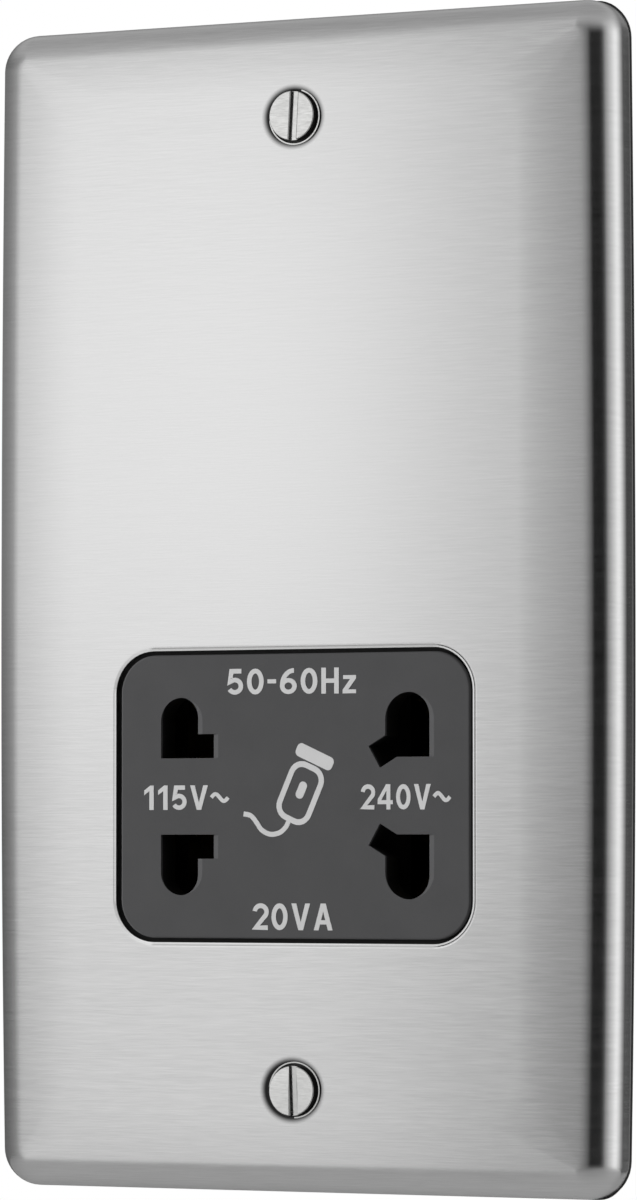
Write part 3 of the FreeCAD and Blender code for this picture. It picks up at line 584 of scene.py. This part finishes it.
def cut_away(bm, cutter):
    """The first shape less the second."""
    objects = []
    for shape in (bm, cutter):
        mesh = bpy.data.meshes.new("shape")
        shape.to_mesh(mesh)
        shape.free()
        objects.append(bpy.data.objects.new("shape", mesh))
        scene.collection.objects.link(objects[-1])
    cut = objects[0].modifiers.new("cut", "BOOLEAN")
    cut.operation = "DIFFERENCE"
    cut.solver = "EXACT"
    cut.object = objects[1]
    result = bpy.data.meshes.new_from_object(objects[0].evaluated_get(bpy.context.evaluated_depsgraph_get()))
    out = bmesh.new()
    out.from_mesh(result)
    for obj in objects:
        mesh = obj.data
        bpy.data.objects.remove(obj)
        bpy.data.meshes.remove(mesh)
    bpy.data.meshes.remove(result)
    return out


# Plate and frame

def plate_profile():
    """Section of the pressed sheet from the flat front over the crown and the roll, and back inside it, as
    (inset from the rim's outline, y)."""
    first = math.radians(CROWN_SLOPE)
    start = FLARE_W + ROLL_R * (1 - math.sin(first))
    crown_drop = CROWN_W * math.tan(first) / 2
    profile = []
    for k in range(ROLL_STEPS):
        t = k / ROLL_STEPS
        profile.append((start + CROWN_W * (1 - t), PLATE_Y + crown_drop * t * t))
    for k in range(ROLL_STEPS + 1):
        a = first + (math.pi / 2 - first) * k / ROLL_STEPS
        y = PLATE_Y + crown_drop + ROLL_R * (math.cos(first) - math.cos(a))
        profile.append((FLARE_W + ROLL_R * (1 - math.sin(a)), y))
    inside = FLARE_W + SHEET
    profile += [(FLARE_W, RIM_Y - FLARE_H), (FLARE_EDGE, RIM_Y), (inside, RIM_Y)]
    inner_r = ROLL_R - SHEET
    for k in range(ROLL_STEPS + 1):
        a = math.radians(90 - 90 * k / ROLL_STEPS)
        profile.append((inside + inner_r * (1 - math.sin(a)), PLATE_Y + SHEET + inner_r * (1 - math.cos(a))))
    return profile


def bowed(x, z, across):
    """X of a point after the long sides are bowed, so that plate and frame are narrower at their ends."""
    bow = (UPPER_BOW if z > 0 else LOWER_BOW) * (2 * z / PLATE_H) ** 2
    return x - math.copysign(bow * part_way(abs(x), *across), x)


def plate_ring(bm, inset, y):
    """Vertices all round the plate, at an inset from its rim."""
    flat = max(inset - ROLL_R, 0)
    corner = RIM_R - min(inset, ROLL_R) + FLAT_CORNER_SHARE * flat
    side = inset + (CROWN_STRETCH - 1) * flat
    loop = rounded_loop(PLATE_W - 2 * side, PLATE_H - 2 * inset, corner, side_steps=BOW_STEPS)
    return ring(bm, [(bowed(x, z, PLATE_BOW_X), z) for x, z in loop], y)


def opening_rings(bm):
    """Rings of vertices at the insert's opening, from the front over its turned edge to the back."""
    rings = []
    for grow, drop in OPENING_EDGE:
        loop = rounded_loop(OPENING_W + 2 * grow, OPENING_H + 2 * grow, OPENING_R + grow, INSERT_Z)
        row = []
        for x, z in loop:
            turned = part_way(x, *TURNED_X, TURNED_LEAST)
            row.append(bm.verts.new((OPENING_X + x, PLATE_Y + drop * turned, z)))
        rings.append(row)
    rings.append(ring(bm, [(OPENING_X + x, z) for x, z in loop], PLATE_Y + SHEET))
    return rings


def make_plate():
    """The pressed sheet with its rolled edge, the insert's opening and the holes for the fixing screws."""
    bm = bmesh.new()
    rings = [plate_ring(bm, inset, y) for inset, y in plate_profile()]
    bridge(bm, rings)
    holes = [opening_rings(bm)]
    for side in (-1, 1):
        loop = circle_loop(SCREW_HOLE_R, 0.0, side * FIXING_Z, HOLE_STEPS)
        holes.append([ring(bm, loop, PLATE_Y), ring(bm, loop, PLATE_Y + SHEET)])
    for hole in holes:
        bridge(bm, hole)
    fill_flat(bm, [rings[0]] + [hole[0] for hole in holes])
    fill_flat(bm, [rings[-1]] + [hole[-1] for hole in holes])
    plate = finish_mesh("plate_sheet", bm, STEEL, "socket")
    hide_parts("front_plate")


def make_frame():
    """The carrier behind the plate, whose walls and lip follow the plate's bow."""
    bm = bmesh.new()
    bm.from_mesh(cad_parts["mounting_frame"].data)
    for v in bm.verts:
        v.co /= MM
    for k in range(1, BOW_STEPS):
        level = (k / BOW_STEPS - 0.5) * PLATE_H
        parts = bm.verts[:] + bm.edges[:] + bm.faces[:]
        bmesh.ops.bisect_plane(bm, geom=parts, dist=CUT_JOIN, plane_co=(0, 0, level), plane_no=(0, 0, 1))
    for v in bm.verts:
        v.co.x = bowed(v.co.x, v.co.z, FRAME_BOW_X)
    tray = finish_mesh("frame_tray", bm, BLACK, "socket")
    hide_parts("mounting_frame")


make_plate()
make_frame()


# Print on the insert

def glyph(letter):
    """Loops of a letter of height 1, and its width."""
    if letter == "1":
        flag = [(0.28, 1), (0.02, 0.80), (0.02, 0.61), (0.24, 0.77)]
        return [[(0.24, 0), (0.43, 0), (0.43, 1)] + flag], 0.45
    if letter == "2":
        bow = arc(0.33, 0.68, 0.24, 0.23, 175, -38)
        return ribbon(bow + [(0.13, 0.09), (0.62, 0.09)], STROKE), 0.62
    if letter == "4":
        right = [(0.40, 0), (0.58, 0), (0.58, 0.21), (0.69, 0.21), (0.69, 0.37), (0.58, 0.37), (0.58, 1)]
        left = [(0.38, 1), (0.0, 0.40), (0.0, 0.21), (0.40, 0.21)]
        return [right + left, [(0.40, 0.37), (0.40, 0.75), (0.16, 0.37)]], 0.69
    if letter == "5":
        bow = arc(0.32, 0.33, 0.24, 0.24, 128, -150)
        return ribbon([(0.58, 0.91), (0.19, 0.91), (0.13, 0.50)] + bow, STROKE), 0.65
    if letter == "0":
        return ribbon(arc(0.33, 0.5, 0.24, 0.41, 0, 345, 23), STROKE, closed=True), 0.66
    if letter == "6":
        outer = arc(0.55, 0.35, 0.55, 0.65, 180, 90, 10) + [(0.55, 0.82)]
        outer += arc(0.55, 0.35, 0.37, 0.47, 95, 143, 6)
        outer += arc(0.33, 0.31, 0.33, 0.31, 102, -172, 24)
        return [outer, arc(0.33, 0.31, 0.15, 0.14, 0, 345, 15)], 0.66
    if letter == "A":
        outer = [(0, 0), (0.19, 0), (0.25, 0.22), (0.51, 0.22), (0.57, 0), (0.76, 0), (0.48, 1), (0.28, 1)]
        return [outer, [(0.295, 0.38), (0.38, 0.70), (0.465, 0.38)]], 0.76
    if letter == "H":
        left = [(0.18, 1), (0, 1), (0, 0), (0.18, 0), (0.18, 0.41)]
        right = [(0.50, 0.41), (0.50, 0), (0.68, 0), (0.68, 1), (0.50, 1), (0.50, 0.58), (0.18, 0.58)]
        return [left + right], 0.68
    if letter == "z":
        top = [(0.52, 0.57), (0.52, 0.70), (0.02, 0.70), (0.02, 0.55), (0.29, 0.55)]
        return [top + [(0, 0.14), (0, 0), (0.52, 0), (0.52, 0.15), (0.22, 0.15)]], 0.52
    if letter == "-":
        return [[(0, 0.42), (0.34, 0.42), (0.34, 0.58), (0, 0.58)]], 0.34
    if letter == "V":
        return [[(0, 1), (0.20, 1), (0.38, 0.30), (0.56, 1), (0.76, 1), (0.475, 0), (0.285, 0)]], 0.76
    wave = [(0.72 * k / 24, 0.5 + 0.14 * math.sin(2 * math.pi * k / 24)) for k in range(25)]
    return ribbon(wave, 0.16), 0.72


def make_mark(name, shapes):
    """One printed piece from flat shapes, each an outer loop and its holes."""
    bm = bmesh.new()
    for loops in shapes:
        prism(bm, loops, FACE_Y - MARK_T, FACE_Y + MARK_T)
    mark = finish_mesh(name, bm, INK, "socket")


def make_lettering(name, text, x0, x1, z, height):
    """Lettering printed on the insert's face, between two X and centred on a height from its middle."""
    glyphs = [glyph(letter) for letter in text]
    total = sum(width for _, width in glyphs) + LETTER_GAP * (len(glyphs) - 1)
    scale = (x1 - x0) / total
    at = 0.0
    shapes = []
    for loops, width in glyphs:
        placed = []
        for loop in loops:
            placed.append([(x0 + (at + u) * scale, INSERT_Z + z + (w - 0.5) * height) for u, w in loop])
        shapes.append(placed)
        at += width + LETTER_GAP
    make_mark(name, shapes)


def make_shaver_sign():
    """A plain drawing of a shaver with its lead, printed between the two pairs of slots."""
    turn = math.radians(SIGN_TURN)
    c, s = math.cos(turn), math.sin(turn)

    def place(points):
        return [(SIGN_X + u * c - w * s, INSERT_Z + SIGN_Z + u * s + w * c) for u, w in points]

    make_mark("mark_shaver", [
        ribbon(place(rounded_loop(*CASE, steps=6)), CASE_STROKE, closed=True),
        [place(rounded_loop(*FOIL, steps=5))],
        [place(rounded_loop(*BUTTON, steps=5))],
        ribbon(smooth_path(place(LEAD)), LEAD_STROKE),
    ])


for mark_values in MARKS:
    make_lettering(*mark_values)
make_shaver_sign()


# Fixing screws

def screw_profile(top):
    """Half section of a fixing screw from its head's front to the start of its thread, as (radius, y)."""
    profile = [(HEAD_R - HEAD_EDGE, top)]
    for k in range(1, HEAD_STEPS + 1):
        a = math.radians(90 * k / HEAD_STEPS)
        profile.append((HEAD_R - HEAD_EDGE + HEAD_EDGE * math.sin(a), top + HEAD_EDGE * (1 - math.cos(a))))
    rim = HEAD_R + GROOVE_W
    seat = PLATE_Y - COLLAR_T
    foot = PLATE_Y - FOOT_GAP
    profile += [(HEAD_R, foot), (rim, foot), (rim, seat + COLLAR_EDGE), (rim + COLLAR_EDGE, seat)]
    profile += [(COLLAR_R - COLLAR_EDGE, seat), (COLLAR_R, foot), (COLLAR_R - COLLAR_EDGE, PLATE_Y)]
    profile += [(SHANK_R + NECK_EDGE, PLATE_Y), (SHANK_R, PLATE_Y + NECK_EDGE), (SHANK_R, THREAD_START)]
    return profile


def thread_rings(bm, z):
    """Rings of vertices along a screw's thread, which fades in at its start and out at its end."""
    end = SHANK_END - TIP_L
    rows = int((end - THREAD_START) / THREAD_PITCH * THREAD_ROWS)
    rings = []
    for row in range(1, rows + 1):
        y = THREAD_START + (end - THREAD_START) * row / rows
        fade = min(1.0, (y - THREAD_START) / THREAD_FADE, (end - y) / THREAD_FADE + THREAD_LAST)
        points = []
        for i in range(SCREW_STEPS):
            a = 2 * math.pi * i / SCREW_STEPS
            phase = ((y - THREAD_START) / THREAD_PITCH - i / SCREW_STEPS) % 1.0
            r = SHANK_R - THREAD_DEPTH * abs(2 * phase - 1) * fade
            points.append((SCREW_X + r * math.cos(a), z + r * math.sin(a)))
        rings.append(ring(bm, points, y))
    return rings


def driver_cutter(top, z, turn):
    """The form of a driver slot with bevelled edges, standing out of the head at the front and both sides."""
    half = DRIVER_SLOT_W / 2
    wide = half + DRIVER_BEVEL
    left = [(-wide, -CUT_OVER), (-wide, 0.0), (-half, DRIVER_BEVEL), (-half, DRIVER_SLOT_D)]
    section = left + [(-u, d) for u, d in reversed(left)]
    c, s = math.cos(turn), math.sin(turn)
    cutter = bmesh.new()
    ends = []
    for w in (-HEAD_R - CUT_PAST, HEAD_R + CUT_PAST):
        row = []
        for u, d in section:
            row.append(cutter.verts.new((SCREW_X + DRIVER_X + u * c - w * s, top + d, z + u * s + w * c)))
        ends.append(row)
    bridge(cutter, ends)
    for row in ends:
        cutter.faces.new(row)
    bmesh.ops.recalc_face_normals(cutter, faces=cutter.faces)
    return cutter


def paint_groove_shade(screw, top, z):
    """Paints shade: gives the side of a screw's head and the groove round it the black plastic, as no light
    gets into them.
    """
    # The black plastic here is painted shade, not the screw's own colour
    screw.data.materials.append(BLACK)
    inside, outside = HEAD_R - GROOVE_INSIDE, HEAD_R + GROOVE_W + GROOVE_OUTSIDE
    for face in screw.data.polygons:
        x, y, up = face.center / MM
        if top + GROOVE_TOP < y < PLATE_Y and inside < math.hypot(x - SCREW_X, up - z) < outside:
            face.material_index = 1


def make_fixing_screw(name, z, turn, tilt, collar_shift):
    """A plated screw with a cheese head, a groove between it and its collar that is painted black as shade, a
    driver slot and a thread.
    The head's front may tilt up a little, and the loose collar lies a little off its middle."""
    top = PLATE_Y - HEAD_PROUD
    bm = bmesh.new()
    rings = [ring(bm, circle_loop(r, SCREW_X, z, SCREW_STEPS), y) for r, y in screw_profile(top)]
    rings += thread_rings(bm, z)
    rings.append(ring(bm, circle_loop(SHANK_R - TIP_CHAMFER, SCREW_X, z, SCREW_STEPS), SHANK_END))
    bridge(bm, rings)
    bm.faces.new(rings[-1])
    bm.faces.new(rings[0])
    for v in bm.verts:
        if v.co.y < top + TILTED_H:
            v.co.y += (v.co.z - z) * math.tan(math.radians(tilt))
        elif math.hypot(v.co.x - SCREW_X, v.co.z - z) > HEAD_R + GROOVE_W / 2:
            v.co.x += collar_shift[0]
            v.co.z += collar_shift[1]
    bmesh.ops.recalc_face_normals(bm, faces=bm.faces)
    cutter = driver_cutter(top, z, math.radians(turn))
    screw = finish_mesh(name, cut_away(bm, cutter), SCREW, "socket")
    paint_groove_shade(screw, top, z)
    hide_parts("fixing_screws")


for screw_values in SCREWS:
    make_fixing_screw(*screw_values)


# Springs and switch leaves

def make_slider_spring(name):
    """The slider's leaf spring, with its ends on the chamber's wall and its nose on the slider, copied from
    its solid.
    """
    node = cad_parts[name]
    spring = bpy.data.objects.new(name + "_strip", node.data.copy())
    spring.matrix_world = node.matrix_world
    scene.collection.objects.link(spring)
    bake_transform(spring)
    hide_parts(name)


def make_switch_leaf(name, side):
    """A strip of the leaf switch, bent so that its free end lies on the slider's finger."""
    x0, y0, tip = LEAF_LOW
    x1, y1, tail = LEAF_HIGH
    bend = LEAF_BENT_Z - LEAF_ROOT_Z
    rows = [LEAF_ROOT_Z + bend * k / LEAF_STEPS for k in range(LEAF_STEPS + 1)]
    bm = bmesh.new()
    loops = []
    for z in [tail] + rows + [tip]:
        t = part_way(z, LEAF_ROOT_Z, LEAF_BENT_Z)
        jog = LEAF_JOG * t * t * (3 - 2 * t)
        corners = ((x0, y0), (x1, y0), (x1, y1), (x0, y1))
        loops.append([bm.verts.new((side * (x - jog), y, z)) for x, y in corners])
    bridge(bm, loops)
    bm.faces.new(loops[0])
    bm.faces.new(loops[-1])
    leaf = finish_mesh(name + "_strip", bm, BRASS, None)
    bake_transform(leaf)
    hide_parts(name)


for side_name, side_sign in (("left", -1), ("right", 1)):
    make_slider_spring("slider_spring_" + side_name)
    make_switch_leaf("switch_leaf_" + side_name, side_sign)


# Camera, light and stage

def make_camera():
    """The view of the photograph, from the right of the front."""
    data = bpy.data.cameras.new("camera")
    data.sensor_fit = "VERTICAL"
    data.sensor_height = SENSOR_H
    data.lens = CAMERA_LENS
    data.clip_start = 0.01
    camera = bpy.data.objects.new("camera", data)
    camera.location = Vector(CAMERA_AT) * MM
    camera.rotation_euler = (math.radians(90 + CAMERA_TILT), 0, math.radians(CAMERA_TURN))
    scene.collection.objects.link(camera)
    scene.camera = camera


def make_world():
    """Plain white all round, which the camera sees as the background."""
    world = bpy.data.worlds.new("white")
    scene.world = world
    world.use_nodes = True
    background = next(n for n in world.node_tree.nodes if n.type == "BACKGROUND")
    background.inputs["Color"].default_value = (1, 1, 1, 1)
    background.inputs["Strength"].default_value = 1.0


def ramp(tree, share, stops, limit):
    """A brightness that goes through stops between -limit and limit, by a share from 0 to 1 of the way."""
    node = add(tree, "ShaderNodeValToRGB")
    elements = node.color_ramp.elements
    while len(elements) < len(stops):
        elements.new(0.5)
    for element, (place, level) in zip(elements, stops):
        element.position = (place + limit) / (2 * limit)
        element.color = (*grey(level), 1)
    tree.links.new(share, node.inputs[0])
    return node.outputs["Color"]


def studio_light():
    """Soft light of the studio's walls: a bright side to the left of the front, dark cards to the right."""
    mat = bpy.data.materials.new("studio_light")
    mat.use_nodes = True
    tree = mat.node_tree
    tree.nodes.clear()
    coord = add(tree, "ShaderNodeTexCoord")
    direction = add(tree, "ShaderNodeVectorMath", operation="NORMALIZE")
    tree.links.new(coord.outputs["Object"], direction.inputs[0])
    axes = add(tree, "ShaderNodeSeparateXYZ")
    tree.links.new(direction.outputs[0], axes.inputs[0])
    front = math_node(tree, "MULTIPLY", axes.outputs["Y"], -1.0)
    bearing = math_node(tree, "ARCTAN2", axes.outputs["X"], front)
    turn = math_node(tree, "MULTIPLY_ADD", bearing, 1 / (2 * math.pi), 0.5)
    height = math_node(tree, "MULTIPLY_ADD", axes.outputs["Z"], 0.5, 0.5)
    steep = spread(tree, math_node(tree, "ABSOLUTE", axes.outputs["Z"]), 0.0, 1.0, *STEEP)
    by_bearing = mix_colours(tree, steep, ramp(tree, turn, BEARINGS, 180), grey(STEEP_LEVEL))
    level_part = math_node(tree, "SUBTRACT", 1.0, steep)
    even = math_node(tree, "MULTIPLY", ramp(tree, turn, EVEN_BEARINGS, 180), level_part)
    by_height = mix_colours(tree, even, ramp(tree, height, HEIGHTS, 1), grey(EVEN_LEVEL))
    glow = add(tree, "ShaderNodeEmission")
    tree.links.new(mix_colours(tree, 1.0, by_bearing, by_height, "MULTIPLY"), glow.inputs["Color"])
    out = add(tree, "ShaderNodeOutputMaterial")
    tree.links.new(glow.outputs[0], out.inputs["Surface"])
    return mat


def stage_piece(name, bm, material, z=0.0):
    """A piece of the stage, at a height."""
    mesh = bpy.data.meshes.new(name)
    bm.to_mesh(mesh)
    bm.free()
    mesh.materials.append(material)
    piece = bpy.data.objects.new(name, mesh)
    piece.location = (0, 0, z * MM)
    scene.collection.objects.link(piece)
    return piece


def make_stage():
    """A pale floor inside the studio's walls, which light the part but are not seen themselves."""
    bm = bmesh.new()
    bmesh.ops.create_circle(bm, cap_ends=True, radius=FLOOR_R * MM, segments=64)
    pale = moulded("floor_pale", grey(0.84), grey(0.88), rough=0.8, fineness=60.0, depth=0.01)
    stage_piece("floor", bm, pale, FLOOR_Z)
    bm = bmesh.new()
    bmesh.ops.create_uvsphere(bm, u_segments=48, v_segments=24, radius=STUDIO_R * MM)
    walls = stage_piece("studio_walls", bm, studio_light())
    walls.visible_camera = False


def make_lamp(name, bearing, rise, power):
    """A soft lamp that lights the matt surfaces and isn't mirrored in the metal."""
    data = bpy.data.lights.new(name, "AREA")
    data.shape = "SQUARE"
    data.size = LAMP_SIZE * MM
    data.energy = power
    data.spread = math.radians(LAMP_SPREAD)
    lamp = bpy.data.objects.new(name, data)
    turn, up = math.radians(bearing), math.radians(rise)
    out = Vector((math.sin(turn) * math.cos(up), -math.cos(turn) * math.cos(up), math.sin(up)))
    lamp.location = out * LAMP_DISTANCE * MM
    lamp.rotation_euler = out.to_track_quat("Z", "Y").to_euler()
    lamp.visible_glossy = False
    scene.collection.objects.link(lamp)


make_camera()
make_world()
make_stage()
for lamp_values in LAMPS:
    make_lamp(*lamp_values)
